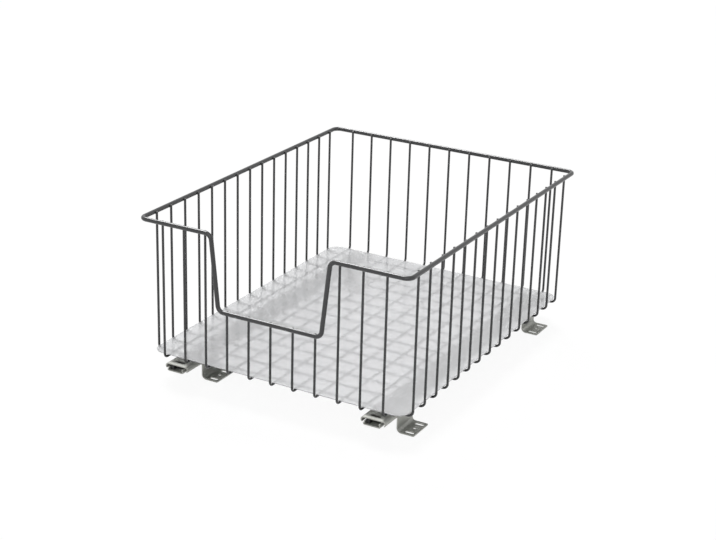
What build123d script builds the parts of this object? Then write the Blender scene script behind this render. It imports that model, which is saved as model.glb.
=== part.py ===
from build123d import *
import os
from math import sqrt

# A welded wire basket that pulls out of a cabinet on two ball slides. Each slide stands on two
# Z-shaped feet, which are screwed to the cabinet floor. A loose plastic liner covers the floor wires.
#
# Millimetres. X runs across the basket, Y from its open front to its back, Z up from the feet.
# The origin is on the cabinet floor, under the middle of the rim.

# ---------------------------------------------------------------- driving sizes: wire basket
RIM_WIDTH = 349.4  # side to side, between the centres of the rim rod
RIM_LENGTH = 445.0  # front to back, between the centres of the rim rod
RIM_HEIGHT = 201.2  # centre of the rim rod above the cabinet floor
RIM_ROD_D = 5.3
RIM_CORNER_R = 8.5  # bend radii are to the centre of the rod or wire
NOTCH_TOP_WIDTH = 155.5  # the dip in the front of the rim, between its corners at the top
NOTCH_BOTTOM_WIDTH = 135.5
NOTCH_DEPTH = 91.8
NOTCH_TOP_R = 8.0
NOTCH_BOTTOM_R = 8.0

WIRE_D = 2.9
WELD_SINK = 0.5  # how far a wire is pressed into the rim where it is welded
WIRE_TOP_ABOVE_ROD = 1.2  # a wire's end stands this far above the centre of the rod it is welded to
END_BEND_R = 5.0  # lengthwise wires, where they turn up at the front and the back
SIDE_BEND_R = 6.0  # crosswise wires, where they turn up at the sides
LENGTHWISE_COUNT = 11
LENGTHWISE_PITCH = 29.2
CROSSWISE_COUNT = 15
CROSSWISE_FRONT_GAP = 26.95  # from the centre of the rim's front to the first crosswise wire
CROSSWISE_REAR_GAP = 22.55  # from the last crosswise wire to the centre of the rim's back

# ---------------------------------------------------------------- driving sizes: liner
LINER_THICKNESS = 1.0
LINER_CORNER_R = 15.0
LINER_GAP = 0.5  # to the bends of the wires around it
LINER_REST_GAP = 0.2  # to the wires it lies on

# ---------------------------------------------------------------- driving sizes: ball slides
SLIDE_LENGTH = 450.0
SLIDE_WIDTH = 31.5
SLIDE_HEIGHT = 8.0
SLIDE_SPACING = 262.8  # between the centre lines of the two slides
SLIDE_SHIFT = 4.4  # both slides sit this far to the right of the basket's middle
RAIL_SHEET = 1.2
TRAVEL = 320.0  # how far the basket pulls out

BALL_D = 4.5
BALL_CLEARANCE = 0.05  # between a ball and each raceway
MOVING_LIP_ANGLE = 45.0  # how far the moving rail curls under the balls
MOVING_LIP = 0.8  # straight edge after that curl
FIXED_RACE_START = 220.0  # the fixed rail cups the balls between these two angles
FIXED_RACE_END = 170.0
FIXED_SHOULDER = 0.5  # straight slope that leads down from the cup
FIXED_SHOULDER_R = 0.7
FIXED_CORNER_R = 1.0

MOVING_RAIL_SETBACK = 3.0  # front of the moving rail, behind the front of the fixed rail
REAR_TAB_WIDTH = 12.0  # the closing stop, bent up from the rear of the fixed rail
REAR_TAB_R = 1.8
REAR_TAB_DROP = 0.5  # its top, below the top of the slide
CLOSING_GAP = 0.4  # between that stop and the closed moving rail
RAIL_SLOT_LENGTH = 13.8
RAIL_SLOT_WIDTH = 5.0
RAIL_SLOT_INSET = 9.0  # centre of the slot, from the end of the moving rail
RAIL_SLOT_SHIFT = -1.2  # from the slide's centre line
PULL_STOP_WIDTH = 8.0  # small lance under the moving rail that carries the ball cage along
PULL_STOP_DROP = 1.6
PULL_STOP_INSET = 4.0  # from the rear of the moving rail

CAGE_SHEET = 0.6
CAGE_TOP_GAP = 0.25  # between the cage's web and the moving rail
CAGE_BEND_R = 0.9
CAGE_SKIRT = 1.5  # how far the cage's sides reach below the ball centres
CAGE_END_GAP = 1.0  # to each stop at full pull
CAGE_END_MARGIN = 6.0  # last ball to the end of the cage
BALLS_PER_SIDE = 11
POCKET_CLEARANCE = 0.1

BUMPER_WIDTH = 17.0  # rubber stop clipped into the front of the fixed rail
BUMPER_LENGTH = 7.0
BUMPER_TOP_GAP = 0.5
BUMPER_CORNER_R = 0.8
BUMPER_LUG_WIDTH = 4.5  # ear that reaches forwards on the left
BUMPER_LUG_LENGTH = 7.0
BUMPER_INSET = 3.0  # front of the ear, behind the front of the fixed rail
BUMPER_PEG_D = 3.6

# ---------------------------------------------------------------- driving sizes: feet
BRACKET_HEIGHT = 20.0
BRACKET_LENGTH = 36.0
BRACKET_SHEET = 1.5
BRACKET_SPACING = 338.4  # front foot to rear foot
BRACKET_FLANGE_REACH = 8.0  # under the fixed rail, to the left of the slide's centre line
BRACKET_WEB_X = 12.1  # centre of the upright, right of the slide's centre line
BRACKET_FOOT_X = 33.0  # end of the foot, right of the slide's centre line
BRACKET_TOP_R = 2.25
BRACKET_FOOT_R = 5.0
BRACKET_CORNER_R = 1.5
SCREW_X = 25.0  # screw hole and slots, right of the slide's centre line
SCREW_HOLE_D = 4.5
SCREW_SLOT_LENGTH = 11.5
SCREW_SLOT_WIDTH = 4.9
SCREW_SLOT_Y = 12.0  # slots, in front of and behind the screw hole

RIVET_D = 3.2
RIVET_HEAD_D = 6.4
RIVET_HEAD_HEIGHT = 1.0
RIVET_CLEARANCE = 0.05
RIVET_SPACING = 18.0
RIVET_X = -1.0  # from the slide's centre line

# ---------------------------------------------------------------- worked out from the sizes above
wire_r = WIRE_D / 2
rim_x = RIM_WIDTH / 2
rim_y = RIM_LENGTH / 2
weld_offset = (RIM_ROD_D + WIRE_D) / 2 - WELD_SINK
wire_x = rim_x - weld_offset
wire_y = rim_y - weld_offset
notch_z = RIM_HEIGHT - NOTCH_DEPTH
crosswise_span = RIM_LENGTH - CROSSWISE_FRONT_GAP - CROSSWISE_REAR_GAP
crosswise_pitch = crosswise_span / (CROSSWISE_COUNT - 1)

slide_z = BRACKET_HEIGHT
slide_top = slide_z + SLIDE_HEIGHT
crosswise_z = slide_top + wire_r
lengthwise_z = crosswise_z + WIRE_D
liner_z = lengthwise_z + wire_r + LINER_REST_GAP

# In a slide's section, x is measured from its centre line and z from its underside.
race_r = BALL_D / 2 + BALL_CLEARANCE + RAIL_SHEET / 2
ball_x = SLIDE_WIDTH / 2 - RAIL_SHEET / 2 - race_r
ball_z = SLIDE_HEIGHT - RAIL_SHEET / 2 - race_r
slide_rear = SLIDE_LENGTH / 2
fixed_front = -SLIDE_LENGTH / 2
moving_front = fixed_front + MOVING_RAIL_SETBACK
moving_rear = slide_rear - RAIL_SHEET - CLOSING_GAP
bumper_rear = fixed_front + BUMPER_INSET + BUMPER_LUG_LENGTH + BUMPER_LENGTH
pull_stop_y = moving_rear - PULL_STOP_INSET

# At full pull the cage is held between the bumper and the pull stop. It moves half as far as the
# basket, so at rest it stands midway between them.
cage_length = pull_stop_y - bumper_rear - TRAVEL - 2 * CAGE_END_GAP
cage_y = (pull_stop_y + bumper_rear) / 2
cage_web_z = SLIDE_HEIGHT - RAIL_SHEET - CAGE_TOP_GAP - CAGE_SHEET / 2
ball_pitch = (cage_length - 2 * CAGE_END_MARGIN) / (BALLS_PER_SIDE - 1)

SLIDES = {
    "left": SLIDE_SHIFT - SLIDE_SPACING / 2,
    "right": SLIDE_SHIFT + SLIDE_SPACING / 2,
}
FEET = {"front": -BRACKET_SPACING / 2, "rear": BRACKET_SPACING / 2}

os.makedirs("parts", exist_ok=True)


def save(part, name):
    """Label one finished piece and write it to its own file."""
    part.label = name
    export_step(part, f"parts/{name}.step")


def section_plane(x, y, z):
    """A plane across the basket that faces the front, with its local y axis up."""
    return Plane(origin=(x, y, z), x_dir=(1, 0, 0), z_dir=(0, -1, 0))


# ---------------------------------------------------------------- rim
with BuildPart() as rim:
    with BuildLine() as rim_loop:
        FilletPolyline(
            (-rim_x, rim_y, RIM_HEIGHT),
            (-rim_x, -rim_y, RIM_HEIGHT),
            (-NOTCH_TOP_WIDTH / 2, -rim_y, RIM_HEIGHT),
            (-NOTCH_BOTTOM_WIDTH / 2, -rim_y, notch_z),
            (NOTCH_BOTTOM_WIDTH / 2, -rim_y, notch_z),
            (NOTCH_TOP_WIDTH / 2, -rim_y, RIM_HEIGHT),
            (rim_x, -rim_y, RIM_HEIGHT),
            (rim_x, rim_y, RIM_HEIGHT),
            radius=[
                RIM_CORNER_R,
                RIM_CORNER_R,
                NOTCH_TOP_R,
                NOTCH_BOTTOM_R,
                NOTCH_BOTTOM_R,
                NOTCH_TOP_R,
                RIM_CORNER_R,
                RIM_CORNER_R,
            ],
            close=True,
        )
    with BuildSketch(Plane(origin=rim_loop.line @ 0, z_dir=rim_loop.line % 0)):
        Circle(RIM_ROD_D / 2)
    sweep()
save(rim.part, "rim")


# ---------------------------------------------------------------- wires
def bent_wire(plane, half_span, floor_z, front_top, back_top, bend_r):
    """One wire bent up at both ends, drawn in a plane whose local y axis is up."""
    with BuildPart() as wire:
        with BuildLine(plane) as path:
            FilletPolyline(
                (-half_span, front_top),
                (-half_span, floor_z),
                (half_span, floor_z),
                (half_span, back_top),
                radius=bend_r,
            )
        with BuildSketch(Plane(origin=path.line @ 0, z_dir=path.line % 0)):
            Circle(wire_r)
        sweep()
        add(rim.part, mode=Mode.SUBTRACT)
    return wire.part


wire_top = RIM_HEIGHT + WIRE_TOP_ABOVE_ROD
notch_wire_top = notch_z + WIRE_TOP_ABOVE_ROD

for number in range(LENGTHWISE_COUNT):
    x = (number - (LENGTHWISE_COUNT - 1) / 2) * LENGTHWISE_PITCH
    front_top = notch_wire_top if abs(x) < NOTCH_BOTTOM_WIDTH / 2 else wire_top
    wire = bent_wire(Plane.YZ.offset(x), wire_y, lengthwise_z, front_top, wire_top, END_BEND_R)
    save(wire, f"lengthwise_wire_{number + 1:02d}")

for number in range(CROSSWISE_COUNT):
    y = -rim_y + CROSSWISE_FRONT_GAP + number * crosswise_pitch
    wire = bent_wire(section_plane(0, y, 0), wire_x, crosswise_z, wire_top, wire_top, SIDE_BEND_R)
    save(wire, f"crosswise_wire_{number + 1:02d}")


# ---------------------------------------------------------------- liner
# It ends where the lengthwise wires begin to rise. At the sides it lies one wire higher than the
# crosswise wires, so it reaches a little way over their bends.
side_bend_inside = SIDE_BEND_R - wire_r
over_side_bend = sqrt(side_bend_inside**2 - (side_bend_inside - WIRE_D) ** 2)
liner_half_length = wire_y - END_BEND_R - LINER_GAP
liner_half_width = wire_x - SIDE_BEND_R + over_side_bend - LINER_GAP

with BuildPart() as liner:
    with BuildSketch(Plane.XY.offset(liner_z)):
        RectangleRounded(2 * liner_half_width, 2 * liner_half_length, LINER_CORNER_R)
    extrude(amount=LINER_THICKNESS)
save(liner.part, "liner")


# ---------------------------------------------------------------- ball slides
def moving_rail(x):
    """The wide channel that opens downwards, is welded under the basket and travels with it."""
    with BuildPart() as rail:
        with BuildSketch(section_plane(x, moving_rear, slide_z)):
            with BuildLine():
                Line((0, SLIDE_HEIGHT - RAIL_SHEET / 2), (ball_x, SLIDE_HEIGHT - RAIL_SHEET / 2))
                race = CenterArc((ball_x, ball_z), race_r, 90, -90 - MOVING_LIP_ANGLE)
                Line(race @ 1, race @ 1 + MOVING_LIP * (race % 1))
            trace(line_width=RAIL_SHEET)
            mirror(about=Plane.YZ)
        extrude(amount=moving_rear - moving_front)
        with BuildSketch(Plane.XY.offset(slide_top)):
            for y in (moving_front + RAIL_SLOT_INSET, moving_rear - RAIL_SLOT_INSET):
                with Locations((x + RAIL_SLOT_SHIFT, y)):
                    SlotOverall(RAIL_SLOT_LENGTH, RAIL_SLOT_WIDTH)
        extrude(amount=-RAIL_SHEET, mode=Mode.SUBTRACT)
        with Locations((x, pull_stop_y, slide_top - RAIL_SHEET)):
            Box(
                PULL_STOP_WIDTH,
                RAIL_SHEET,
                PULL_STOP_DROP,
                align=(Align.CENTER, Align.MIN, Align.MAX),
            )
    return rail.part


def fixed_rail(x):
    """The narrow channel that opens upwards and is riveted to the feet."""
    plate_z = RAIL_SHEET / 2
    tab_y = slide_rear - RAIL_SHEET / 2
    channel_rear = slide_rear - RAIL_SHEET - REAR_TAB_R
    with BuildPart() as rail:
        with BuildSketch(section_plane(x, channel_rear, slide_z)):
            with BuildLine():
                race = CenterArc(
                    (ball_x, ball_z), race_r, FIXED_RACE_START, FIXED_RACE_END - FIXED_RACE_START
                )
                shoulder = race @ 0 - FIXED_SHOULDER * (race % 0)
                FilletPolyline(
                    (0, plate_z),
                    (shoulder.X, plate_z),
                    shoulder,
                    race @ 0,
                    radius=[FIXED_CORNER_R, FIXED_SHOULDER_R],
                )
            trace(line_width=RAIL_SHEET)
            mirror(about=Plane.YZ)
        extrude(amount=channel_rear - fixed_front)
        # closing stop, bent up from the plate
        with BuildSketch(Plane.YZ.offset(x - REAR_TAB_WIDTH / 2)):
            with BuildLine():
                FilletPolyline(
                    (channel_rear - RAIL_SHEET, slide_z + plate_z),
                    (tab_y, slide_z + plate_z),
                    (tab_y, slide_top - REAR_TAB_DROP),
                    radius=REAR_TAB_R,
                )
            trace(line_width=RAIL_SHEET)
        extrude(amount=REAR_TAB_WIDTH)
        # holes for the rivets and for the bumper's peg
        with BuildSketch(Plane.XY.offset(slide_z)):
            for y in FEET.values():
                with Locations((x + RIVET_X, y)):
                    with GridLocations(0, RIVET_SPACING, 1, 2):
                        Circle(RIVET_D / 2 + RIVET_CLEARANCE)
            with Locations((x, bumper_rear - BUMPER_LENGTH / 2)):
                Circle(BUMPER_PEG_D / 2 + RIVET_CLEARANCE)
        extrude(amount=RAIL_SHEET, mode=Mode.SUBTRACT)
    return rail.part


def ball_cage(x):
    """The thin strip that keeps the balls apart, folded down between the two rails' walls."""
    with BuildPart() as cage:
        with BuildSketch(section_plane(x, cage_y + cage_length / 2, slide_z)):
            with BuildLine():
                FilletPolyline(
                    (0, cage_web_z),
                    (ball_x, cage_web_z),
                    (ball_x, ball_z - CAGE_SKIRT),
                    radius=CAGE_BEND_R,
                )
            trace(line_width=CAGE_SHEET)
            mirror(about=Plane.YZ)
        extrude(amount=cage_length)
        for side in (-1, 1):
            pockets = Plane.YZ.offset(x + side * ball_x)
            with BuildSketch(pockets):
                with Locations((cage_y, slide_z + ball_z)):
                    with GridLocations(ball_pitch, 0, BALLS_PER_SIDE, 1):
                        Circle(BALL_D / 2 + POCKET_CLEARANCE)
            extrude(amount=BALL_D / 2, both=True, mode=Mode.SUBTRACT)
    return cage.part


def balls(x):
    """Both rows of balls of one slide."""
    with BuildPart() as group:
        with Locations((x, cage_y, slide_z + ball_z)):
            with GridLocations(2 * ball_x, ball_pitch, 2, BALLS_PER_SIDE):
                Sphere(BALL_D / 2)
    return group.part


def bumper(x):
    """The stop in the front of the fixed rail, with an ear on its left and a peg through the rail."""
    plate_top = slide_z + RAIL_SHEET
    height = SLIDE_HEIGHT - 2 * RAIL_SHEET - BUMPER_TOP_GAP
    with BuildPart() as stop:
        with BuildSketch(Plane.XY.offset(plate_top)):
            with Locations((x, bumper_rear)):
                Rectangle(BUMPER_WIDTH, BUMPER_LENGTH, align=(Align.CENTER, Align.MAX))
            with Locations((x - BUMPER_WIDTH / 2, bumper_rear)):
                Rectangle(
                    BUMPER_LUG_WIDTH,
                    BUMPER_LENGTH + BUMPER_LUG_LENGTH,
                    align=(Align.MIN, Align.MAX),
                )
        extrude(amount=height)
        fillet(stop.edges().filter_by(Axis.Z), BUMPER_CORNER_R)
        with BuildSketch(Plane.XY.offset(plate_top)):
            with Locations((x, bumper_rear - BUMPER_LENGTH / 2)):
                Circle(BUMPER_PEG_D / 2)
        extrude(amount=-RAIL_SHEET)
    return stop.part


# ---------------------------------------------------------------- feet
def bracket(x, y):
    """A Z-shaped foot: a flange under the fixed rail, an upright and a slotted foot on the floor."""
    with BuildPart() as foot:
        with BuildSketch(section_plane(x, y + BRACKET_LENGTH / 2, 0)):
            with BuildLine():
                FilletPolyline(
                    (-BRACKET_FLANGE_REACH, BRACKET_HEIGHT - BRACKET_SHEET / 2),
                    (BRACKET_WEB_X, BRACKET_HEIGHT - BRACKET_SHEET / 2),
                    (BRACKET_WEB_X, BRACKET_SHEET / 2),
                    (BRACKET_FOOT_X, BRACKET_SHEET / 2),
                    radius=[BRACKET_TOP_R, BRACKET_FOOT_R],
                )
            trace(line_width=BRACKET_SHEET)
        extrude(amount=BRACKET_LENGTH)
        fillet(foot.edges().filter_by(Axis.Z).group_by(Axis.X)[-1], BRACKET_CORNER_R)
        with BuildSketch(Plane.XY):
            with Locations((x + SCREW_X, y)):
                Circle(SCREW_HOLE_D / 2)
                with GridLocations(0, 2 * SCREW_SLOT_Y, 1, 2):
                    SlotOverall(SCREW_SLOT_LENGTH, SCREW_SLOT_WIDTH)
        extrude(amount=BRACKET_SHEET, mode=Mode.SUBTRACT)
        with BuildSketch(Plane.XY.offset(BRACKET_HEIGHT)):
            with Locations((x + RIVET_X, y)):
                with GridLocations(0, RIVET_SPACING, 1, 2):
                    Circle(RIVET_D / 2 + RIVET_CLEARANCE)
        extrude(amount=-BRACKET_SHEET, mode=Mode.SUBTRACT)
    return foot.part


def rivets(x, y):
    """The pair of rivets that hold one foot to the fixed rail."""
    lower_head = BRACKET_HEIGHT - BRACKET_SHEET - RIVET_HEAD_HEIGHT
    upper_head = slide_z + RAIL_SHEET
    with BuildPart() as pair:
        for plane_z, diameter, height in (
            (lower_head, RIVET_HEAD_D, RIVET_HEAD_HEIGHT),
            (lower_head + RIVET_HEAD_HEIGHT, RIVET_D, BRACKET_SHEET + RAIL_SHEET),
            (upper_head, RIVET_HEAD_D, RIVET_HEAD_HEIGHT),
        ):
            with BuildSketch(Plane.XY.offset(plane_z)):
                with Locations((x + RIVET_X, y)):
                    with GridLocations(0, RIVET_SPACING, 1, 2):
                        Circle(diameter / 2)
            extrude(amount=height)
        fillet(pair.edges().filter_by(GeomType.CIRCLE).group_by(Axis.Z)[-1], RIVET_HEAD_HEIGHT / 2)
    return pair.part


for side, x in SLIDES.items():
    save(moving_rail(x), f"{side}_moving_rail")
    save(fixed_rail(x), f"{side}_fixed_rail")
    save(ball_cage(x), f"{side}_ball_cage")
    save(balls(x), f"{side}_balls")
    save(bumper(x), f"{side}_bumper")
    for end, y in FEET.items():
        save(bracket(x, y), f"{side}_{end}_bracket")
        save(rivets(x, y), f"{side}_{end}_rivets")
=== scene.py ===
import math
import bmesh
import bpy
from mathutils import Matrix, Vector, noise


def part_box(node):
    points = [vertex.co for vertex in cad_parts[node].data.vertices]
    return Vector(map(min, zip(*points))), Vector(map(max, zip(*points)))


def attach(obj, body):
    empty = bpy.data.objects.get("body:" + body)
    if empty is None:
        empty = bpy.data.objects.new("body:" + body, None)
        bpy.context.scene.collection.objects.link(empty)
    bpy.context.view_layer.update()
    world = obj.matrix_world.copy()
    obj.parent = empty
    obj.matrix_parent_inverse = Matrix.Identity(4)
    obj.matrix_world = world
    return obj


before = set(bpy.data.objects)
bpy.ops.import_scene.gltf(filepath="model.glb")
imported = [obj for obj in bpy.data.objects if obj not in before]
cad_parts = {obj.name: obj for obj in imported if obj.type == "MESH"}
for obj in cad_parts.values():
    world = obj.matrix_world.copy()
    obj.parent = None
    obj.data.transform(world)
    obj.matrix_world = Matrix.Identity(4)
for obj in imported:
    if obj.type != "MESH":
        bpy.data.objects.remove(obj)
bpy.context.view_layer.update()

# ---------------------------------------------------------------- sizes and levels, in metres
CAMERA_PLACE = Vector((0.9065, -1.6595, 0.8330))
CAMERA_AZIMUTH = math.radians(28.942)
CAMERA_ELEVATION = math.radians(21.122)
CAMERA_ROLL = math.radians(1.622)
CAMERA_LENS = 82.96  # in millimetres, as is the sensor's width
CAMERA_SENSOR_WIDTH = 36

AMBIENT = 0.38  # light from all around, where 1 is white
KEY_FROM = Vector((-0.45, 0.40, 0.80))  # high and behind, so that rods across the view shine on top
KEY_STRENGTH = 2.8
KEY_SPREAD = math.radians(24)
FILL_FROM = Vector((0.35, -0.70, 0.62))
FILL_STRENGTH = 0.5
FILL_SPREAD = math.radians(50)
FLOOR_RADIUS = 14.0
FLOOR_SEGMENTS = 96
FLOOR_DROP = 0.0004  # below the feet
FLOOR_COLOUR = (0.98, 0.98, 0.98, 1)
FLOOR_ROUGHNESS = 0.9
FLOOR_GLOW = 0.93  # how far the backdrop's own white covers the floor's shade

ROD_D = 0.0053  # the rim's rod
RIM_BEAD = Vector((0.0022, 0.0009, 0.0013))  # half sizes: along the rod, into the basket, up
RIM_BEAD_DROP = 0.0009  # below the middle of the rod
FLOOR_BEAD = Vector((0.0019, 0.0019, 0.0008))
RAIL_BEAD = Vector((0.0024, 0.0019, 0.0007))
RAIL_BEAD_OFFSET = 0.0075  # from the middle of a slide to its weld spots
HALF_NOTCH = 0.067  # wires within this of the middle end at the bar of the dip
BEAD_SUBDIVISIONS = 3
BEAD_ROUGHNESS = 0.18  # share of a bead's size by which its surface wanders
BEAD_LUMPS = 1.6  # how many lumps there are across a bead
BEAD_STEP = Vector((1.7, 0.9, 2.3))  # shift of the noise from one bead to the next

NOISE_DETAIL = 4.0
NOISE_MIDDLE = (0.3, 0.7)  # where most of the noise lies

LENGTHWISE = sorted(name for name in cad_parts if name.startswith("lengthwise_wire"))
CROSSWISE = sorted(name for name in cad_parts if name.startswith("crosswise_wire"))
SIDES = ("left", "right")
ENDS = ("front", "rear")


# ---------------------------------------------------------------- materials
def grain(tree, scale, stretch):
    """Noise that is fixed to the piece, with its scale per metre and stretched along chosen axes."""
    place = tree.nodes.new("ShaderNodeTexCoord")
    mapping = tree.nodes.new("ShaderNodeMapping")
    mapping.inputs["Scale"].default_value = stretch
    texture = tree.nodes.new("ShaderNodeTexNoise")
    texture.inputs["Scale"].default_value = scale
    texture.inputs["Detail"].default_value = NOISE_DETAIL
    tree.links.new(place.outputs["Object"], mapping.inputs["Vector"])
    tree.links.new(mapping.outputs["Vector"], texture.inputs["Vector"])
    return texture.outputs["Fac"]


def remap(tree, value, low, high):
    """A number that runs from low to high with the noise's middle range."""
    node = tree.nodes.new("ShaderNodeMapRange")
    node.inputs["From Min"].default_value, node.inputs["From Max"].default_value = NOISE_MIDDLE
    node.inputs["To Min"].default_value = low
    node.inputs["To Max"].default_value = high
    tree.links.new(value, node.inputs["Value"])
    return node.outputs["Result"]


def mixed(tree, value, low, high):
    """A colour that runs from low to high with the noise's middle range."""
    node = tree.nodes.new("ShaderNodeMix")
    node.data_type = "RGBA"
    node.inputs[6].default_value = (*low, 1)
    node.inputs[7].default_value = (*high, 1)
    tree.links.new(remap(tree, value, 0, 1), node.inputs["Factor"])
    return node.outputs[2]


def surface(name, colours, roughness, patches, relief, **sockets):
    """A finished surface.

    The colours run between two ends over the broad patches, given as (scale per metre, stretch
    along the axes). The roughness runs between two ends with the fine relief, given as (scale per
    metre, stretch along the axes, depth in metres). The other sockets stay constant.
    """
    material = bpy.data.materials.new(name)
    material.use_nodes = True
    tree = material.node_tree
    shader = tree.nodes["Principled BSDF"]
    broad = grain(tree, *patches)
    tree.links.new(mixed(tree, broad, *colours), shader.inputs["Base Color"])
    fine_scale, fine_stretch, depth = relief
    fine = grain(tree, fine_scale, fine_stretch)
    tree.links.new(remap(tree, fine, *roughness), shader.inputs["Roughness"])
    bump = tree.nodes.new("ShaderNodeBump")
    bump.inputs["Distance"].default_value = depth
    tree.links.new(fine, bump.inputs["Height"])
    tree.links.new(bump.outputs["Normal"], shader.inputs["Normal"])
    for socket, value in sockets.items():
        shader.inputs[socket.replace("_", " ")].default_value = value
    return material


def coated_wire():
    """Dark grey powder coat with a fine orange peel."""
    return surface(
        "coated_wire",
        colours=((0.013, 0.0135, 0.0145), (0.021, 0.0215, 0.023)),
        roughness=(0.20, 0.27),
        patches=(35, (1, 1, 1)),
        relief=(900, (1, 1, 1), 0.000012),
        Specular_IOR_Level=0.70,
    )


def zinc_steel():
    """Dull zinc plate over rolled strip: faint streaks along the strip and cloudy patches."""
    return surface(
        "zinc_steel",
        colours=((0.32, 0.325, 0.30), (0.44, 0.445, 0.415)),
        roughness=(0.40, 0.56),
        patches=(60, (1, 0.4, 1)),
        relief=(700, (1, 0.06, 1), 0.00004),
        Metallic=0.5,
    )


def cage_steel():
    return surface(
        "cage_steel",
        colours=((0.38, 0.38, 0.37), (0.48, 0.48, 0.47)),
        roughness=(0.28, 0.42),
        patches=(80, (1, 0.3, 1)),
        relief=(900, (1, 0.05, 1), 0.00003),
        Metallic=1.0,
    )


def ball_steel():
    return surface(
        "ball_steel",
        colours=((0.60, 0.60, 0.60), (0.66, 0.66, 0.66)),
        roughness=(0.08, 0.16),
        patches=(400, (1, 1, 1)),
        relief=(2500, (1, 1, 1), 0.000004),
        Metallic=1.0,
    )


def rivet_steel():
    return surface(
        "rivet_steel",
        colours=((0.24, 0.245, 0.23), (0.33, 0.335, 0.32)),
        roughness=(0.30, 0.46),
        patches=(300, (1, 1, 1)),
        relief=(1500, (1, 1, 1), 0.00003),
        Metallic=1.0,
    )


def black_plastic():
    return surface(
        "black_plastic",
        colours=((0.010, 0.010, 0.010), (0.018, 0.018, 0.018)),
        roughness=(0.42, 0.58),
        patches=(200, (1, 1, 1)),
        relief=(1800, (1, 1, 1), 0.00004),
    )


def frosted_sheet():
    """Translucent sheet with a fine frost: the wires below show as soft grey lines."""
    return surface(
        "frosted_sheet",
        colours=((0.768, 0.772, 0.782), (0.784, 0.788, 0.798)),
        roughness=(0.155, 0.17),
        patches=(9, (1, 1, 1)),
        relief=(2600, (1, 1, 1), 0.000002),
        Transmission_Weight=0.58,
        IOR=1.49,
    )


def floor_white():
    """A plain pale floor that shows as white and keeps a soft share of the shade on it."""
    material = bpy.data.materials.new("floor_white")
    material.use_nodes = True
    tree = material.node_tree
    shader = tree.nodes["Principled BSDF"]
    shader.inputs["Base Color"].default_value = FLOOR_COLOUR
    shader.inputs["Roughness"].default_value = FLOOR_ROUGHNESS
    shader.inputs["Specular IOR Level"].default_value = 0.0
    glow = tree.nodes.new("ShaderNodeEmission")
    mix = tree.nodes.new("ShaderNodeMixShader")
    share = tree.nodes.new("ShaderNodeMath")
    share.operation = "MULTIPLY"
    share.inputs[1].default_value = FLOOR_GLOW
    tree.links.new(seen_directly(tree), share.inputs[0])
    tree.links.new(share.outputs[0], mix.inputs["Fac"])
    tree.links.new(shader.outputs["BSDF"], mix.inputs[1])
    tree.links.new(glow.outputs["Emission"], mix.inputs[2])
    tree.links.new(mix.outputs["Shader"], tree.nodes["Material Output"].inputs["Surface"])
    return material


def seen_directly(tree):
    """1 for rays from the camera, off gloss or through the sheet, and 0 for diffuse light."""
    path = tree.nodes.new("ShaderNodeLightPath")
    value = path.outputs["Is Camera Ray"]
    for name in ("Is Glossy Ray", "Is Transmission Ray"):
        either = tree.nodes.new("ShaderNodeMath")
        either.operation = "MAXIMUM"
        tree.links.new(value, either.inputs[0])
        tree.links.new(path.outputs[name], either.inputs[1])
        value = either.outputs[0]
    return value


def paint(names, material):
    for name in names:
        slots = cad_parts[name].data.materials
        slots.clear()
        slots.append(material)


wire_coat = coated_wire()
steel = zinc_steel()
paint(["rim"] + LENGTHWISE + CROSSWISE, wire_coat)
paint([f"{side}_{rail}_rail" for side in SIDES for rail in ("moving", "fixed")], steel)
paint([f"{side}_{end}_bracket" for side in SIDES for end in ENDS], steel)
paint([f"{side}_{end}_rivets" for side in SIDES for end in ENDS], rivet_steel())
paint([f"{side}_ball_cage" for side in SIDES], cage_steel())
paint([f"{side}_balls" for side in SIDES], ball_steel())
paint([f"{side}_bumper" for side in SIDES], black_plastic())
paint(["liner"], frosted_sheet())


# ---------------------------------------------------------------- weld beads
def add_bead(mesh, place, half_sizes, number):
    """One bead of melted metal: a small round lump, each a little uneven in its own way."""
    made = bmesh.ops.create_icosphere(mesh, subdivisions=BEAD_SUBDIVISIONS, radius=1.0)
    for vertex in made["verts"]:
        lump = noise.noise(vertex.co * BEAD_LUMPS + number * BEAD_STEP)
        swell = 1 + BEAD_ROUGHNESS * lump
        vertex.co = place + Vector(c * h for c, h in zip(vertex.co * swell, half_sizes))


def bead_piece(name, beads, material):
    """One piece that holds many beads, each given as (place, half sizes)."""
    mesh = bmesh.new()
    for number, (place, half_sizes) in enumerate(beads):
        add_bead(mesh, place, half_sizes, number)
    data = bpy.data.meshes.new(name)
    mesh.to_mesh(data)
    mesh.free()
    data.shade_smooth()
    data.materials.append(material)
    piece = bpy.data.objects.new(name, data)
    bpy.context.scene.collection.objects.link(piece)
    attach(piece, "basket")


def turned(half_sizes):
    """The same bead on a rod that runs along Y."""
    return Vector((half_sizes.y, half_sizes.x, half_sizes.z))


def middle(name):
    low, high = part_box(name)
    return (low + high) / 2


rim_low, rim_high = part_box("rim")
wire_low, wire_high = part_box(CROSSWISE[0])
wire_d = wire_high.y - wire_low.y
rim_z = rim_high.z - ROD_D / 2 - RIM_BEAD_DROP
notch_z = rim_low.z + ROD_D / 2 - RIM_BEAD_DROP
IN_NOTCH = [name for name in LENGTHWISE if abs(middle(name).x) < HALF_NOTCH]


def rim_contacts():
    """Where each wire's end touches the inner face of the rim, with the bead's half sizes there."""
    contacts = []
    for name in LENGTHWISE:
        x = middle(name).x
        contacts.append((Vector((x, rim_high.y - ROD_D, rim_z)), RIM_BEAD))
        front_z = notch_z if name in IN_NOTCH else rim_z
        contacts.append((Vector((x, rim_low.y + ROD_D, front_z)), RIM_BEAD))
    for name in CROSSWISE:
        y = middle(name).y
        for x in (rim_low.x + ROD_D, rim_high.x - ROD_D):
            contacts.append((Vector((x, y, rim_z)), turned(RIM_BEAD)))
    return contacts


bead_piece("rim_weld_beads", rim_contacts(), wire_coat)

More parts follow.
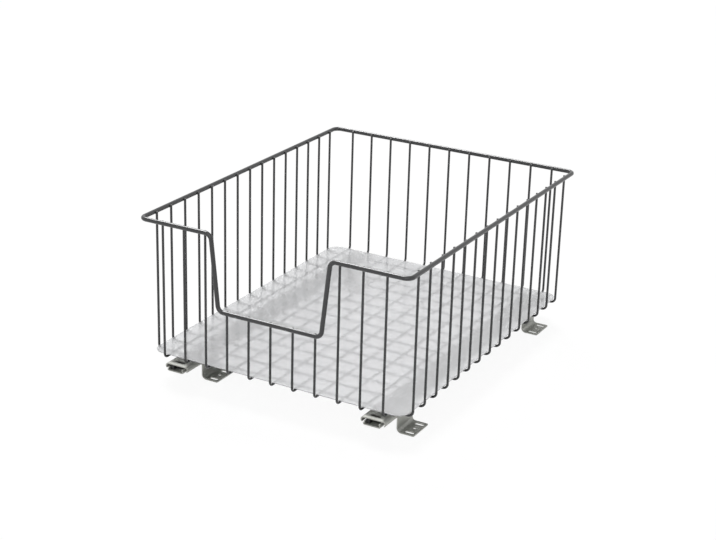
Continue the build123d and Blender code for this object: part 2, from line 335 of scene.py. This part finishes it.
floor_layer_z = wire_low.z + wire_d
bead_piece(
    "floor_weld_beads",
    [
        (Vector((middle(along).x, middle(across).y, floor_layer_z)), FLOOR_BEAD)
        for along in LENGTHWISE
        for across in CROSSWISE
    ],
    wire_coat,
)

rail_weld_beads = []
for side in SIDES:
    rail_x = middle(f"{side}_moving_rail").x
    for across in CROSSWISE:
        for offset in (-RAIL_BEAD_OFFSET, RAIL_BEAD_OFFSET):
            place = Vector((rail_x + offset, middle(across).y, wire_low.z))
            rail_weld_beads.append((place, RAIL_BEAD))
bead_piece("rail_weld_beads", rail_weld_beads, wire_coat)


# ---------------------------------------------------------------- floor, light and camera
def disc(name, radius, z, material):
    mesh = bmesh.new()
    bmesh.ops.create_circle(mesh, cap_ends=True, radius=radius, segments=FLOOR_SEGMENTS)
    bmesh.ops.translate(mesh, verts=mesh.verts, vec=(0, 0, z))
    data = bpy.data.meshes.new(name)
    mesh.to_mesh(data)
    mesh.free()
    data.materials.append(material)
    piece = bpy.data.objects.new(name, data)
    bpy.context.scene.collection.objects.link(piece)
    return piece


def lamp(name, source, strength, spread):
    """A distant soft lamp that shines from the given direction."""
    data = bpy.data.lights.new(name, "SUN")
    data.energy = strength
    data.angle = spread
    piece = bpy.data.objects.new(name, data)
    piece.rotation_euler = source.to_track_quat("Z", "Y").to_euler()
    bpy.context.scene.collection.objects.link(piece)


def white_world():
    """Even light all around, which shows as white wherever it is seen."""
    world = bpy.data.worlds.new("white_world")
    bpy.context.scene.world = world
    world.use_nodes = True
    tree = world.node_tree
    background = tree.nodes["Background"]
    background.inputs["Color"].default_value = (1, 1, 1, 1)
    level = tree.nodes.new("ShaderNodeMapRange")
    level.inputs["To Min"].default_value = AMBIENT
    level.inputs["To Max"].default_value = 1.0
    tree.links.new(seen_directly(tree), level.inputs["Value"])
    tree.links.new(level.outputs["Result"], background.inputs["Strength"])


def camera_turn():
    """The camera's axes from its azimuth, elevation and roll. Azimuth 0 looks along +Y."""
    flat = math.cos(CAMERA_ELEVATION)
    back = Vector(
        (
            math.sin(CAMERA_AZIMUTH) * flat,
            -math.cos(CAMERA_AZIMUTH) * flat,
            math.sin(CAMERA_ELEVATION),
        )
    )
    right = Vector((0, 0, 1)).cross(back).normalized()
    up = back.cross(right)
    rolled_right = math.cos(CAMERA_ROLL) * right + math.sin(CAMERA_ROLL) * up
    rolled_up = math.cos(CAMERA_ROLL) * up - math.sin(CAMERA_ROLL) * right
    return Matrix((rolled_right, rolled_up, back)).transposed()


def photo_camera():
    data = bpy.data.cameras.new("camera")
    data.lens = CAMERA_LENS
    data.sensor_width = CAMERA_SENSOR_WIDTH
    camera = bpy.data.objects.new("camera", data)
    camera.matrix_world = Matrix.Translation(CAMERA_PLACE) @ camera_turn().to_4x4()
    bpy.context.scene.collection.objects.link(camera)
    bpy.context.scene.camera = camera


disc("floor", FLOOR_RADIUS, -FLOOR_DROP, floor_white())
white_world()
lamp("key", KEY_FROM, KEY_STRENGTH, KEY_SPREAD)
lamp("fill", FILL_FROM, FILL_STRENGTH, FILL_SPREAD)
photo_camera()
bpy.context.scene.view_settings.view_transform = "Standard"
